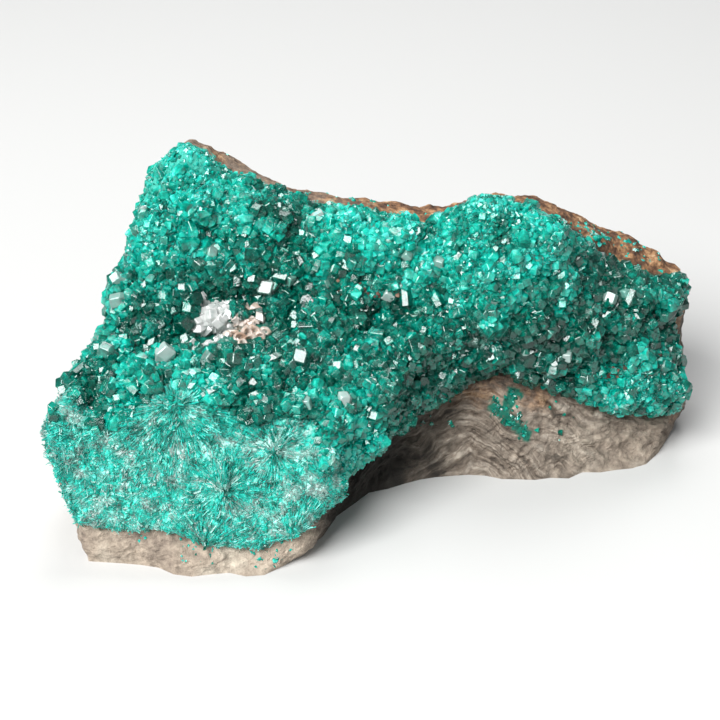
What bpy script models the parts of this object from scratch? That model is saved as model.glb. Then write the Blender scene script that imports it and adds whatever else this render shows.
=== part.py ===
"""A cabinet specimen of dioptase, about 11 cm wide.

A broken block of grey dolomite with a rusty top carries a thick crust of emerald dioptase crystals on its front.
The left end steps forward as a foot whose crust is broken off flat, and at the right the crust hangs over a bare
grey wall. A small group of pale calcite crystals sits in the hollow above the foot.

The rock is drawn as a set of rails that run from its left end to its right end, one above another, from the foot
of the front, over the top and down the back. Lengths are in millimetres until they reach a mesh.
"""

import math
import random

import bmesh
import bpy
import numpy as np
from mathutils import Matrix, Vector, noise
from mathutils.bvhtree import BVHTree

MM = 0.001

# The rails, as (x, y, z) knots from left to right. The viewer is at -Y.
FOOT = [(-43.5, -29.5, 0), (-34, -31, 0), (-24, -33, 0), (-14.5, -33, 0), (-9.5, -27.5, 0), (-2.5, -16, 0),
        (11, -7.5, 0), (31, -7.5, 0), (41.5, -5, 0), (50, -3, 0)]
TOE = [(-45, -29, 7), (-40.5, -29, 6), (-33, -30, 6.5), (-24, -31, 4.5), (-14.5, -31, 4), (-5.5, -25, 8),
       (-1.5, -15, 10), (12, -3, 12.5), (20.5, 1, 16), (30, 0, 15), (41.5, 0.5, 9.5), (55, 3, 6)]
SHIN = [(-50, -25, 21.5), (-42, -20, 21), (-33, -18, 22), (-13, -18, 21), (-4, -17, 19), (2, -11, 21.5),
        (13, -1.5, 23.5), (31, 1, 22.5), (42.5, 2, 17), (56, 5, 10.5)]
SHELF = [(-46.5, -12, 21), (-40, -5, 25), (-34, -3, 26), (-24, -0.5, 26.5), (-14, -1.5, 27.5), (5, 0, 26),
         (14, 4, 29.5), (22.5, 3, 31), (32, 4, 29.5), (43.5, 6, 23.5), (54, 10.5, 17)]
FACE = [(-41, 1, 27), (-36.5, 6, 36), (-31.5, 7, 39.5), (-12.5, 7, 37), (7, 6.5, 34.5), (24, 5.5, 38.5),
        (33.5, 7, 34.5), (44.5, 10, 26.5), (55.5, 13, 23)]
BROW = [(-38.5, 7, 36.5), (-34, 11, 46), (-29.5, 12, 49.5), (-22.5, 12, 46), (-13, 12, 42.5), (7, 11, 38.8),
        (24, 9.5, 43), (34.5, 11, 37), (45, 13.5, 30), (56.5, 16.5, 25)]
CREST = [(-37.5, 12, 42), (-33.5, 15, 50), (-30, 16, 52), (-22.5, 17, 47.3), (-12.5, 18, 43), (7, 18.5, 38.8),
         (15.5, 19.5, 37.6), (27.5, 21, 39.8), (39.5, 23, 34.4), (50, 24, 30), (57.5, 22.5, 25)]
SHOULDER = [(-37, 22, 36), (-29, 26, 42), (-12, 28, 35), (8, 29, 32), (28, 30, 31), (42, 30, 25), (53, 27, 17)]
HEEL = [(-37, 26, 0), (-24, 30, 0), (-6, 28, 0), (12, 32, 0), (34, 32, 0), (48, 25, 0)]

RAILS = [FOOT, TOE, SHIN, SHELF, FACE, BROW, CREST, SHOULDER, HEEL]
STEPS = [3, 4, 4, 3, 3, 2, 3, 3]  # rows of faces between each rail and the next
BASE_ROWS = 2  # rows across the flat underside
COLUMNS = 34
CRUST_FROM, CRUST_TO = 1, 5  # the crust runs from the TOE rail up to the BROW rail

# The crust lies in a shallow bed, stands a little proud of the rock at its rim, and keeps a hair's gap to it.
BED_DEPTH = 3.0
BED_RAMP = 2  # cells from the rim of the crust to the full depth of its bed
RIM_RISE = 1.3
NORMAL_EVENING = 2  # passes
GAP = 0.4
FACET_DEPTH = 0.9  # small facets between the larger crystals, off the broken foot
FACET_SIZE = 2.3

# Rounded clumps of crystals that swell out of the crust, and hollows between them: x, z, radius, rise.
CLUMPS = [(-44.5, 24, 5, 2.0), (-39, 33, 5, 1.0), (-32, 25, 8, 1.5), (-30, 45, 11, 1.5), (-12.5, 42, 9, 1.5),
          (-2.5, 39, 8, 2.0), (7.5, 37, 10, 3.5), (23, 36, 14, 4.0), (32, 25, 8, 2.5), (43, 26, 7, 2.5),
          (52, 27, 7, 1.5), (50, 11, 8, 2.0), (45, 20, 7, 1.5), (2.5, 17, 8, 2.5), (-6.5, 14, 8, 2.0),
          (-14, 25, 9, 2.0), (13.5, 25, 8, 1.5), (-21.5, 28, 8, -1.5), (-26.5, 40, 5, -1.0), (38, 32, 5, -1.0)]
CLUMP_HEART = 9.0  # how far behind the face the crystals of a clump diverge from

# Crystals: short hexagonal prisms with a three-faced tip, whose faces lean 51 degrees from the base.
CRYSTALS = 175
CRYSTAL_RADIUS = (1.3, 3.4)  # the largest are placed first and smaller ones fill in between them
UNDERSIDE_GAP = 0.9  # between the middle of a crystal's base and the crust's underside
CRYSTAL_GAP = 0.3  # between a crystal's corners and the rock
CRYSTAL_REACH = (1.6, 3.4)  # how far a tip stands out of the crust
CRYSTAL_SINK = 1.6
TIP_SLOPE = math.tan(math.radians(51))
TIP_LENGTH = 1.4  # of the radius: no crystal is shorter than its tip
TRIES = 9000

# Sprays: on the foot's flat break the snapped crystals lie as blades that fan out upwards from these x and z.
SPRAYS = [(-29, 19), (-25, 7.5), (-17, 13), (-9, 9), (-38, 12), (-31, 13), (-14, 19), (-40, 18)]
BLADES_PER_SPRAY = 5
BLADE_RADIUS = (0.8, 1.0)
BLADE_LENGTH = (3.5, 6.0)
BLADE_START = 1.8  # from the middle of the spray
BLADE_RISE = 0.4  # how far a blade's middle line stands out of the break

# The calcite group stands at this x, y and z. Its crystals: the way across and up the face from there, the radius, the
# reach, and the lean to the right and upwards in degrees.
CALCITE_SPOT = (-21.5, -2.0, 27.0)
CALCITE = [(-4.4, 2.0, 1.9, 4.2, -10, 18), (-4.8, -0.8, 2.3, 4.4, -16, -12), (-1.9, 0.4, 2.0, 3.6, 0, 6),
           (1.0, 0.9, 2.0, 3.4, 8, 12), (3.3, -0.4, 1.9, 3.0, 16, 0), (5.4, -0.6, 1.7, 2.6, 26, -8)]
CALCITE_LIFT = 1.6  # how far the group stands out of the corner between the shelf and the face
CALCITE_SINK = 4.0
CALCITE_FOOT = (6.6, 3.0, 3.2)  # half sizes of the lumpy foot that the group grows from
CALCITE_ROOM = (10.0, 7.0, 7.0)  # half sizes of the smooth ground about it


def curve_through(at, knots, where):
    """A smooth curve through the knots, one row each at the places in at, read at the places in where."""
    at = np.asarray(at, float)
    knots = np.asarray(knots, float)
    slope = np.gradient(knots, at, axis=0)
    cell = np.clip(np.searchsorted(at, where, side="right") - 1, 0, len(at) - 2)
    width = (at[cell + 1] - at[cell])[:, None]
    t = ((where - at[cell])[:, None]) / width
    low, high = knots[cell], knots[cell + 1]
    rise_low, rise_high = slope[cell] * width, slope[cell + 1] * width
    return ((2 * t**3 - 3 * t**2 + 1) * low + (t**3 - 2 * t**2 + t) * rise_low
            + (3 * t**2 - 2 * t**3) * high + (t**3 - t**2) * rise_high)


def along_rail(rail):
    """The rail read at equal steps of x, one point for each column."""
    knots = np.array(rail, float)
    x = np.linspace(knots[0, 0], knots[-1, 0], COLUMNS)
    return curve_through(knots[:, 0], knots, x)


def rail_row(index):
    """The grid row that lies on a rail."""
    return sum(STEPS[:index])


def rock_skin():
    """Points of the skin, [row, column], from the foot over the top to the heel, and their outward normals."""
    rails = np.array([along_rail(rail) for rail in RAILS])
    where = np.concatenate([index + np.arange(steps) / steps for index, steps in enumerate(STEPS)])
    where = np.append(where, len(STEPS))
    skin = np.stack([curve_through(range(len(RAILS)), rails[:, column], where) for column in range(COLUMNS)], axis=1)
    normals = skin_normals(skin)
    for row, column in np.ndindex(skin.shape[:2]):
        skin[row, column] += normals[row, column] * roughness(skin[row, column])
    skin[..., 2] = np.maximum(skin[..., 2], 0.4)
    skin[[0, -1], :, 2] = 0
    return skin, skin_normals(skin)


def skin_normals(skin):
    """Outward normals, evened out over their neighbours so that the crust's two sides never fold."""
    up = np.gradient(skin, axis=0)
    right = np.gradient(skin, axis=1)
    normals = np.cross(right, up)
    for _ in range(NORMAL_EVENING):
        normals = normals / np.linalg.norm(normals, axis=2, keepdims=True)
        framed = np.pad(normals, ((1, 1), (1, 1), (0, 0)), mode="edge")
        rows = framed[:-2] + 2 * framed[1:-1] + framed[2:]
        normals = rows[:, :-2] + 2 * rows[:, 1:-1] + rows[:, 2:]
    return normals / np.linalg.norm(normals, axis=2, keepdims=True)


def roughness(point):
    """Broad lumps and finer breaks of the rock, in millimetres along the normal."""
    lumps = noise.fractal(Vector(point) / 13, 1.0, 2.0, 3)
    breaks = abs(noise.noise(Vector(point) / 6 + Vector((7, 3, 1))))
    return 1.3 * lumps + 1.6 * (0.25 - breaks)


def bed_depth(rows, columns):
    """How deep the crust's bed is cut into the rock, for each point of the crust's own grid."""
    from_rim = np.minimum(np.arange(rows), np.arange(rows)[::-1])
    from_side = np.minimum(np.arange(columns), np.arange(columns)[::-1])
    cells = np.minimum(from_rim[:, None], from_side[None, :])
    return BED_DEPTH * np.minimum(1, cells / BED_RAMP)


def nearest_on(patch, x, z):
    """The point of the crust's face that is seen at this x and z from the front."""
    apart = (patch[..., 0] - x) ** 2 + (patch[..., 2] - z) ** 2
    return np.unravel_index(np.argmin(apart), apart.shape)


def clump_rise(patch):
    """How far the clumps lift each point of the face, and the hollows lower it. Clumps meet in creases."""
    domes = np.zeros(patch.shape[:2])
    hollows = np.zeros(patch.shape[:2])
    for x, z, radius, height in CLUMPS:
        heart = patch[nearest_on(patch, x, z)]
        near = np.clip(1 - ((patch - heart) ** 2).sum(axis=2) / radius**2, 0, 1)
        if height > 0:
            domes = np.maximum(domes, height * near**0.7)
        else:
            hollows += height * near
    return domes + hollows


def facet_rise(patch):
    """Small ups and downs that break the face into facets."""
    rise = np.zeros(patch.shape[:2])
    for row, column in np.ndindex(rise.shape):
        if not on_broken_foot(patch[row, column]) and not near_calcite(patch[row, column]):
            rise[row, column] = FACET_DEPTH * noise.noise(Vector(patch[row, column]) / FACET_SIZE)
    return rise


def grid_faces(bm, grid, flip=False):
    """Triangles between the vertices of a [row][column] grid, split along the same diagonal everywhere."""
    for below, above in zip(grid, grid[1:]):
        for a, b, c, d in zip(below, below[1:], above[1:], above):
            for corners in ((a, b, c), (a, c, d)):
                bm.faces.new(corners[::-1] if flip else corners)


def grid_vertices(bm, points):
    return [[bm.verts.new(Vector(p) * MM) for p in row] for row in points]


def end_rings(loop, outward):
    """Smaller copies of an end section, drawn in towards a point of its base, so that the end is a rough face."""
    middle = loop.mean(axis=0) * (1, 1, 0)
    rings = []
    for share, bulge in ((0.78, 1.5), (0.45, 3.0)):
        ring = middle + (loop - middle) * share + (outward * bulge, 0, 0)
        ring[:, 0] += [1.2 * noise.noise(Vector(p) / 7) for p in ring]
        rings.append(ring)
    return rings


def rock_mesh(skin, normals):
    """The rock: the skin with the crust's bed sunk into it, closed by a flat underside and two rough ends."""
    rock = skin.copy()
    first, last = rail_row(CRUST_FROM), rail_row(CRUST_TO) + 1
    depth = bed_depth(last - first, COLUMNS)
    rock[first:last] -= normals[first:last] * depth[..., None]
    share = np.arange(1, BASE_ROWS) / BASE_ROWS
    base = [rock[-1] * (1 - s) + rock[0] * s for s in share]
    rock = np.concatenate([rock, base])
    columns = [rock[:, column] for column in range(COLUMNS)]
    columns = end_rings(columns[0], -1)[::-1] + columns + end_rings(columns[-1], 1)
    bm = bmesh.new()
    grid = grid_vertices(bm, np.stack(columns, axis=1))
    grid_faces(bm, grid + [grid[0]])
    bm.faces.new([row[0] for row in grid])
    bm.faces.new([row[-1] for row in reversed(grid)])
    return finished_mesh(bm, "rock")


def crust_surface(skin, normals, lift=0.0):
    """The outer points, the inner points and the normals of the crust's grid, before its crystals."""
    first, last = rail_row(CRUST_FROM), rail_row(CRUST_TO) + 1
    face, outward = skin[first:last], normals[first:last]
    depth = bed_depth(*face.shape[:2])
    rise = RIM_RISE + (clump_rise(face) + facet_rise(face)) * np.minimum(1, depth / BED_DEPTH)
    outer = face + outward * (rise + lift)[..., None]
    inner = face - outward * (depth - GAP)[..., None]
    return outer, inner, outward


def crust_mesh(outer, inner, name):
    """A closed crust between its outer and inner grids."""
    bm = bmesh.new()
    front, back = grid_vertices(bm, outer), grid_vertices(bm, inner)
    grid_faces(bm, front)
    grid_faces(bm, back, flip=True)
    for near, far in ((front[0], back[0]), (back[-1], front[-1])):
        grid_faces(bm, [far, near])
    for side, turned in ((0, True), (-1, False)):
        near, far = [row[side] for row in front], [row[side] for row in back]
        grid_faces(bm, [near, far], flip=turned)
    return finished_mesh(bm, name)


def finished_mesh(bm, name):
    bmesh.ops.recalc_face_normals(bm, faces=bm.faces)
    mesh = bpy.data.meshes.new(name)
    bm.to_mesh(mesh)
    bm.free()
    return mesh


def add_crystal(bm, radius, length, placed):
    """A hexagonal prism along +Z from its base, with a three-faced tip, moved to its place."""
    made = bmesh.ops.create_cone(bm, cap_ends=True, segments=6, radius1=radius * MM, radius2=radius * MM,
                                 depth=length * MM)
    corners = made["verts"]
    top = [v for v in corners if v.co.z > 0]
    cap = next(f for f in top[0].link_faces if all(v in top for v in f.verts))
    drop = TIP_SLOPE * radius * MM / 2
    for turn, corner in enumerate(sorted(top, key=lambda v: math.atan2(v.co.y, v.co.x))):
        corner.co.z -= drop * (1 + turn % 2)
    tip = bmesh.ops.poke(bm, faces=[cap])["verts"][0]
    tip.co = (0, 0, length * MM / 2)
    corners = corners + [tip]
    for corner in corners:
        corner.co.z += length * MM / 2
    bmesh.ops.transform(bm, matrix=placed, verts=corners)


def facing(point, direction, turn):
    """A placement at a point in millimetres, with +Z along a direction and a turn about it."""
    turned = Vector(direction).to_track_quat("Z", "Y").to_matrix().to_4x4()
    return Matrix.Translation(Vector(point) * MM) @ turned @ Matrix.Rotation(turn, 4, "Z")


def away_from_heart(point, normal, patch):
    """The direction in which a crystal grows: out of the nearest clump's heart."""
    anchors = [patch[nearest_on(patch, x, z)] for x, z, radius, rise in CLUMPS if rise > 0]
    nearest = min(anchors, key=lambda anchor: np.linalg.norm(anchor - point))
    direction = point - (nearest - normal * CLUMP_HEART)
    return direction / np.linalg.norm(direction) + normal


def on_broken_foot(point):
    """Whether a point lies on the foot's flat break, where the crystals have been snapped off."""
    x, _, z = point
    return x < -7 and z < 20.5 + 0.04 * (x + 30)


def near_calcite(point):
    """Whether a point lies on the smooth ground about the calcite group."""
    return np.linalg.norm((point - CALCITE_SPOT) / np.array(CALCITE_ROOM)) < 1


def between(grid, row, column):
    """The value of a grid at a place between its points."""
    i, j = int(row), int(column)
    s, t = row - i, column - j
    near = grid[i, j] * (1 - s) + grid[i + 1, j] * s
    far = grid[i, j + 1] * (1 - s) + grid[i + 1, j + 1] * s
    return near * (1 - t) + far * t


def is_clear(axis, radius, placed):
    """Whether a crystal on this axis, two points, stays clear of all the crystals placed so far."""
    if not placed:
        return True
    shares = np.linspace(0, 1, 6)[:, None]
    points = axis[0] + (axis[1] - axis[0]) * shares
    others = np.array([other[0] + (other[1] - other[0]) * shares for other, _ in placed])
    apart = np.linalg.norm(others[:, :, None] - points, axis=3).min(axis=(1, 2))
    return all(apart > radius + np.array([size for _, size in placed]))


def is_off_rock(axis, radius, rock):
    """Whether the corners of a crystal on this axis keep a small gap to the rock."""
    start, tip = axis
    placing = facing(start, tip - start, 0)
    length = np.linalg.norm(tip - start)
    corners = [(radius * math.cos(turn), radius * math.sin(turn), along)
               for turn in np.linspace(0, math.tau, 12, endpoint=False) for along in (0, length * 0.5, length * 0.9)]
    for corner in corners:
        point = placing @ (Vector(corner) * MM)
        nearest, outward, _, _ = rock.find_nearest(point)
        if (point - nearest).dot(outward) < CRYSTAL_GAP * MM:
            return False
    return True


def crystal_mesh(outer, inner, normals, rock_mesh_data):
    """All the crystals of the crust, clear of each other, the calcite and the rock, as one mesh of prisms."""
    draw = random.Random(7)
    rows, columns = outer.shape[:2]
    rock = BVHTree.FromPolygons([v.co for v in rock_mesh_data.vertices],
                                [face.vertices for face in rock_mesh_data.polygons])
    smallest, largest = CRYSTAL_RADIUS
    calcite = calcite_axes(outer, normals)
    placed = []
    for attempt in range(TRIES):
        row, column = draw.uniform(0.5, rows - 1.5), draw.uniform(0.5, columns - 1.5)
        point, under, normal = [between(grid, row, column) for grid in (outer, inner, normals)]
        normal = normal / np.linalg.norm(normal)
        thickness = np.linalg.norm(point - under)
        radius = min(thickness - UNDERSIDE_GAP, largest - (largest - smallest) * (attempt / TRIES) ** 0.5)
        if on_broken_foot(point) or radius < smallest:
            continue
        lean = away_from_heart(point, normal, outer) + [draw.gauss(0, 0.25) for _ in range(3)]
        lean = lean / np.linalg.norm(lean)
        sink = min(CRYSTAL_SINK, thickness - UNDERSIDE_GAP)
        reach = max(draw.uniform(*CRYSTAL_REACH) * (radius / largest) ** 0.5, TIP_LENGTH * radius - sink)
        axis = point - normal * sink, point - normal * sink + lean * (sink + reach)
        if is_clear(axis, radius, calcite + placed) and is_off_rock(axis, radius, rock):
            placed.append((axis, radius))
        if len(placed) == CRYSTALS:
            break
    for x, z in SPRAYS:
        placed += spray(draw, outer, normals, nearest_on(outer, x, z), placed)
    bm = bmesh.new()
    for (start, tip), radius in placed:
        add_crystal(bm, radius, np.linalg.norm(tip - start), facing(start, tip - start, draw.uniform(0, math.tau)))
    return finished_mesh(bm, "crystals")


def face_frame(normal):
    """The directions across the face, up the face and out of it."""
    right = np.array((1.0, 0.0, 0.0)) - normal * normal[0]
    right = right / np.linalg.norm(right)
    return right, np.cross(normal, right), normal


def spray(draw, outer, normals, spot, placed):
    """Blades that lie half sunk in the flat break and fan out upwards from one point of it."""
    right, up, out = face_frame(normals[spot])
    blades = []
    for blade in range(BLADES_PER_SPRAY):
        angle = math.pi * (blade + draw.uniform(0.35, 0.65)) / BLADES_PER_SPRAY
        direction = right * math.cos(angle) + up * math.sin(angle)
        radius = draw.uniform(*BLADE_RADIUS)
        start = outer[spot] + direction * BLADE_START + out * (BLADE_RISE - radius / 2)
        axis = start, start + direction * draw.uniform(*BLADE_LENGTH)
        if is_clear(axis, radius, placed + blades):
            blades.append((axis, radius))
    return blades


def calcite_frame(outer, normals):
    """The middle of the calcite group and the directions across the face, up it and out of it."""
    apart = np.linalg.norm(outer - CALCITE_SPOT, axis=2)
    spot = np.unravel_index(np.argmin(apart), apart.shape)
    right, up, out = face_frame(normals[spot])
    return outer[spot] + out * CALCITE_LIFT, right, up, out


def calcite_axes(outer, normals):
    """The axes and radii of the calcite crystals, and of the foot that they grow from."""
    middle, right, up, out = calcite_frame(outer, normals)
    half_width, _, half_depth = CALCITE_FOOT
    ends = right * (half_width - half_depth)
    axes = [((middle - ends, middle + ends), half_depth)]
    for across, along, radius, reach, lean_right, lean_up in CALCITE:
        lean = out + right * math.tan(math.radians(lean_right)) + up * math.tan(math.radians(lean_up))
        lean = lean / np.linalg.norm(lean)
        place = middle + right * across + up * along
        axes.append(((place - lean * CALCITE_SINK, place + lean * reach), radius))
    return axes


def calcite_mesh(outer, normals):
    """The calcite crystals on their foot, sunk far enough into the crust to be trimmed to its surface."""
    bm = bmesh.new()
    for turn, ((start, tip), radius) in enumerate(calcite_axes(outer, normals)[1:]):
        add_crystal(bm, radius, np.linalg.norm(tip - start), facing(start, tip - start, 0.8 * turn))
    middle, right, up, out = calcite_frame(outer, normals)
    foot = bmesh.ops.create_icosphere(bm, subdivisions=2, radius=1)["verts"]
    for corner in foot:
        across, along, rise = np.array(corner.co) * CALCITE_FOOT * (1 + 0.4 * noise.noise(corner.co))
        corner.co = Vector(middle + right * across + up * along + out * rise) * MM
    return finished_mesh(bm, "calcite")


def finish(name, colour, roughness_value, metallic=0.0):
    material = bpy.data.materials.new(name)
    material.use_nodes = True
    shader = material.node_tree.nodes["Principled BSDF"]
    shader.inputs["Base Color"].default_value = (*colour, 1)
    shader.inputs["Roughness"].default_value = roughness_value
    shader.inputs["Metallic"].default_value = metallic
    material.diffuse_color = (*colour, 1)
    return material


def add_object(name, mesh, material=None):
    piece = bpy.data.objects.new(name, mesh)
    bpy.context.scene.collection.objects.link(piece)
    if material:
        mesh.materials.append(material)
    else:
        piece.hide_render = True
        piece.display_type = "WIRE"
    return piece


def join_solids(piece, other, operation):
    """A Boolean that adds or takes away a helper made of closed solids that may overlap."""
    modifier = piece.modifiers.new(other.name, "BOOLEAN")
    modifier.object = other
    modifier.operation = operation
    modifier.solver = "EXACT"
    modifier.use_self = True


def stand_on_origin(pieces, helpers):
    """Moves the whole model so that the middle of its base is at the origin."""
    graph = bpy.context.evaluated_depsgraph_get()
    points = np.array([v.co for piece in pieces for v in piece.evaluated_get(graph).data.vertices])
    middle = (points.min(axis=0) + points.max(axis=0)) / 2
    for piece in pieces + helpers:
        piece.data.transform(Matrix.Translation((-middle[0], -middle[1], 0)))


def main():
    for old in list(bpy.data.objects):
        bpy.data.objects.remove(old)
    skin, normals = rock_skin()
    outer, inner, outward = crust_surface(skin, normals)
    rock = add_object("matrix_rock", rock_mesh(skin, normals), finish("dolomite", (0.33, 0.27, 0.22), 0.85))
    crust = add_object("dioptase_crust", crust_mesh(outer, inner, "crust"), finish("dioptase", (0.0, 0.33, 0.24), 0.2))
    crystals = add_object("crystals", crystal_mesh(outer, inner, outward, rock.data))
    join_solids(crust, crystals, "UNION")
    calcite = add_object("calcite_crystals", calcite_mesh(outer, outward), finish("calcite", (0.8, 0.76, 0.7), 0.2))
    lifted, lowered, _ = crust_surface(skin, normals, lift=GAP)
    bed = add_object("calcite_bed", crust_mesh(lifted, lowered - 6 * outward, "bed"))
    join_solids(calcite, bed, "DIFFERENCE")
    stand_on_origin([rock, crust, calcite], [crystals, bed])


main()
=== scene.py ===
import math
import random

import bmesh
import bpy
import numpy as np
from mathutils import Matrix, Vector, noise
from mathutils.bvhtree import BVHTree


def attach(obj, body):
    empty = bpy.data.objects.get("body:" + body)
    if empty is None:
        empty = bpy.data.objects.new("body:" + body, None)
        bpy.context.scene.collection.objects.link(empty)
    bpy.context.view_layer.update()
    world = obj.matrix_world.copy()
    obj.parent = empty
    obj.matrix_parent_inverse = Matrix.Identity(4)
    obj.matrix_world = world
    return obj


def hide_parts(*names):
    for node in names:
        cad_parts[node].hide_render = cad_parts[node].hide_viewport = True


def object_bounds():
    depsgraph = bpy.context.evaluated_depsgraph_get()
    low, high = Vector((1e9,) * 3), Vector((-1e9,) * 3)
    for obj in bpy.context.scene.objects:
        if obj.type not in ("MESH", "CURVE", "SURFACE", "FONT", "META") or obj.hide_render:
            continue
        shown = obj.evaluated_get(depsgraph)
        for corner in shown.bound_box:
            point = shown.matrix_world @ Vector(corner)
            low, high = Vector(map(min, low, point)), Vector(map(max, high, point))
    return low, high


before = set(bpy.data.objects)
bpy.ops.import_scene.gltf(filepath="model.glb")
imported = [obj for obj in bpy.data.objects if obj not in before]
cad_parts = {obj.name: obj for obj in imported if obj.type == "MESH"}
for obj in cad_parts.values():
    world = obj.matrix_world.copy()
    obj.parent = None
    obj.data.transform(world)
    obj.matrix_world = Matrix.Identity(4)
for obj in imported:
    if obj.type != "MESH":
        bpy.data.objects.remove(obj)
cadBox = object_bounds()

mm = 0.001
noise.seed_set(5)  # without a seed the vector noise starts from the clock, another on every run


# light and camera; the crystals that glint are turned by these numbers too

studio = {
    "floorSide": 3.0, "floorColour": (0.56, 0.56, 0.55, 1),
    "keyPlace": (-0.36, -0.42, 0.62), "keySize": 0.54, "keyPower": 13.0,
    "fillPlace": (0.55, -0.5, 0.30), "fillSize": 0.5, "fillPower": 0.8,
    "topPlace": (0.05, 0.35, 0.6), "topSize": 0.35, "topPower": 2.2,
    "roomStrength": 0.2,
    "lens": 85.0, "cameraDistance": 0.2887, "cameraHeight": 32.0, "target": (-0.0041, 0.0, 0.0195),
}


def cameraAway():
    # the way from the piece to the camera
    height = math.radians(studio["cameraHeight"])
    return Vector((0, -math.cos(height), math.sin(height)))


# small helpers used by every piece

def mergedNode(name):
    # a working copy of a CAD node, its loose triangles joined; the node's own mesh is left alone
    bm = bmesh.new()
    bm.from_mesh(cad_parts[name].data)
    bmesh.ops.remove_doubles(bm, verts=bm.verts, dist=1e-6)
    return bm


def evenOut(bm, points, rounds):
    for _ in range(rounds):
        bmesh.ops.smooth_vert(bm, verts=points, factor=0.5, use_axis_x=True, use_axis_y=True, use_axis_z=True)
    bm.normal_update()


def remeshedNode(name, voxel, evening):
    # a working copy of a CAD node, made anew of small even faces and smoothed
    bm = mergedNode(name)
    mesh = bpy.data.meshes.new(name + "Source")
    bm.to_mesh(mesh)
    bm.free()
    source = bpy.data.objects.new(name + "Source", mesh)
    bpy.context.scene.collection.objects.link(source)
    remesh = source.modifiers.new("remesh", "REMESH")
    remesh.mode = "VOXEL"
    remesh.voxel_size = voxel * mm
    evaluated = source.evaluated_get(bpy.context.evaluated_depsgraph_get())
    bm = bmesh.new()
    bm.from_mesh(evaluated.to_mesh())
    bpy.data.objects.remove(source)
    evenOut(bm, bm.verts, evening)
    return bm


def addPiece(bm, name, material):
    mesh = bpy.data.meshes.new(name)
    bm.to_mesh(mesh)
    bm.free()
    return addMesh(mesh, name, material)


def addMesh(mesh, name, material):
    piece = bpy.data.objects.new(name, mesh)
    bpy.context.scene.collection.objects.link(piece)
    mesh.materials.append(material)
    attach(piece, "root")
    return piece


def smoothStep(low, high, value):
    t = min(1.0, max(0.0, (value - low) / (high - low)))
    return t * t * (3 - 2 * t)


def nodeMaker(material):
    # returns a function that adds a shader node and fills in its plain values
    tree = material.node_tree

    def make(kind, settings=None, **values):
        node = tree.nodes.new(kind)
        for key, value in (settings or {}).items():
            setattr(node, key, value)
        for key, value in values.items():
            socket = node.inputs[key] if key in node.inputs else node.inputs[int(key[1:])]
            if isinstance(value, bpy.types.NodeSocket):
                tree.links.new(value, socket)
            else:
                socket.default_value = value
        return node

    return make


def newMaterial(name):
    material = bpy.data.materials.new(name)
    material.use_nodes = True
    return material, nodeMaker(material), material.node_tree.nodes["Principled BSDF"]


def mixColour(make, share, first, second, blend="MIX"):
    mix = make("ShaderNodeMix", {"data_type": "RGBA", "blend_type": blend}, _0=share, _6=first, _7=second)
    return mix.outputs[2]


def ramp(make, value, stops):
    node = make("ShaderNodeValToRGB", _0=value)
    elements = node.color_ramp.elements
    while len(elements) < len(stops):
        elements.new(0.5)
    for element, (place, colour) in zip(elements, stops):
        element.position = place
        element.color = (*colour, 1)
    return node.outputs[0]


def attribute(make, name):
    return make("ShaderNodeAttribute", {"attribute_name": name}).outputs["Fac"]


def speckle(make, place, scale, detail, **others):
    return make("ShaderNodeTexNoise", Vector=place, Scale=scale, Detail=detail, **others).outputs[0]


def workedOut(make, operation, *values):
    sockets = {"_%d" % number: value for number, value in enumerate(values)}
    return make("ShaderNodeMath", {"operation": operation}, **sockets).outputs[0]


def stretched(make, value, low, high, newLow=0.0, newHigh=1.0):
    return make("ShaderNodeMapRange", Value=value, _1=low, _2=high, _3=newLow, _4=newHigh).outputs[0]


# rock

rock = {
    "cuts": 5,
    "evening": 5,
    "lumpSize": 6.5, "lumpHeight": 0.7, "stepSize": 8.0, "stepHeight": 1.1,
    "chipSize": 3.4, "chipHeight": 0.4,
    "grainSize": 1.1, "grainHeight": 0.25,
    "flowSpacing": 1.5, "flowHeight": 0.75,
    # the green film on the wall: where its two arms begin and end, and how far away it is looked for
    "filmArms": (((18.9, -1.4, 11.0), (24.4, -3.9, 7.0)), ((21.0, -1.6, 10.4), (22.0, -0.6, 13.2))),
    "filmReach": 9.0,
}


def onWall(p):
    # the bare wall under the crust at the right, and the shaded return beside the foot
    return smoothStep(-16, -8, p.x) * smoothStep(6, 2, p.y) * smoothStep(22, 17, p.z)


def overRock(p):
    # where the crust's thin upper edge has grown on over the rock: the upper left, up to its rim
    edge = 17.2 + 1.8 * noise.noise(p / 3) - 1.4 * smoothStep(-16, -8, p.x)
    return p.z > 36 and p.x < 3 and p.y < edge


def wallFlow(p):
    # how far across the wall's wavy layers a place is, in millimetres; they arch over its middle
    warp = 3.4 * noise.noise(p / 11) + 1.3 * noise.noise(p / 4.5 + Vector((5, 0, 0))) + 0.25 * noise.noise(p / 1.3)
    return p.z + 0.34 * abs(p.x - 15) + 0.1 * p.y + warp


def rockLift(p):
    lump = noise.fractal(p / rock["lumpSize"], 1.0, 2.0, 3)
    near, second = noise.voronoi(p / rock["chipSize"])[0][:2]
    chip = min(0.5, second - near) - 0.3
    grain = noise.fractal(p / rock["grainSize"], 0.8, 2.1, 3)
    step = noise.voronoi((p + 1.2 * noise.noise_vector(p / 3)) / rock["stepSize"])[0]
    back = smoothStep(4, 12, p.y) * smoothStep(40, 34, p.z)
    lift = rock["lumpHeight"] * lump + rock["chipHeight"] * chip + rock["grainHeight"] * grain
    lift += rock["stepHeight"] * back * (min(0.45, step[1] - step[0]) - 0.25)
    ridge = noise.fractal(Vector((wallFlow(p) / rock["flowSpacing"], 0.19 * p.x, 0.19 * p.y)), 0.8, 2.0, 3)
    return lift + rock["flowHeight"] * onWall(p) * ridge


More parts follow.
